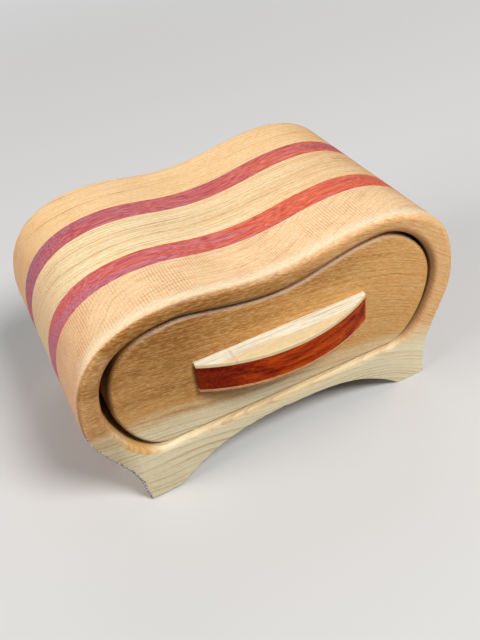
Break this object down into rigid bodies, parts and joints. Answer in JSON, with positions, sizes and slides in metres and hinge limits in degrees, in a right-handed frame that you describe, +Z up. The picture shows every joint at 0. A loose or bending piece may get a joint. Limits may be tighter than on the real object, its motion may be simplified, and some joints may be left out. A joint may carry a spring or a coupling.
{
  "type": "bandsaw box",
  "caption": "Bandsaw box: a freeform body on flared feet, sawn from a block of striped laminated wood, with a curved pull-out drawer and a bowed laminated handle.",
  "frame": {"origin": "middle of the part's width and of its depth, on the plane that the feet stand on", "axes": "+X along the width, to the right seen from the front; +Y from the drawer's face towards the back; +Z up"},
  "size_m": [0.1856, 0.125, 0.1041],
  "materials": {
    "cherry": "sanded smooth and oiled, satin; brown heartwood with pale sapwood",
    "padauk": "sanded smooth and oiled, satin; orange red with dark open pores",
    "maple": "sanded smooth and oiled, satin; cream",
    "beech": "bare dowel, matt"
  },
  "bodies": {
    "case": {"case_front_layer": "cherry", "case_front_stripe": "padauk", "case_middle_layer": "cherry", "case_rear_stripe": "padauk", "case_rear_layer": "cherry", "case_back_panel": "cherry"},
    "drawer": {"drawer_front": "cherry", "tray_front_layer": "cherry", "tray_front_stripe": "padauk", "tray_middle_layer": "cherry", "tray_rear_stripe": "padauk", "tray_rear_layer": "cherry", "drawer_back": "cherry", "handle_bottom_strip": "cherry", "handle_core": "padauk", "handle_top_strip": "maple", "handle_dowel_left": "beech", "handle_dowel_right": "beech"}
  },
  "joints": [
    {"name": "drawer_slide", "type": "slide", "parent": "case", "child": "drawer", "axis": [0, -1, 0], "range_m": [0, 0.09]}
  ]
}
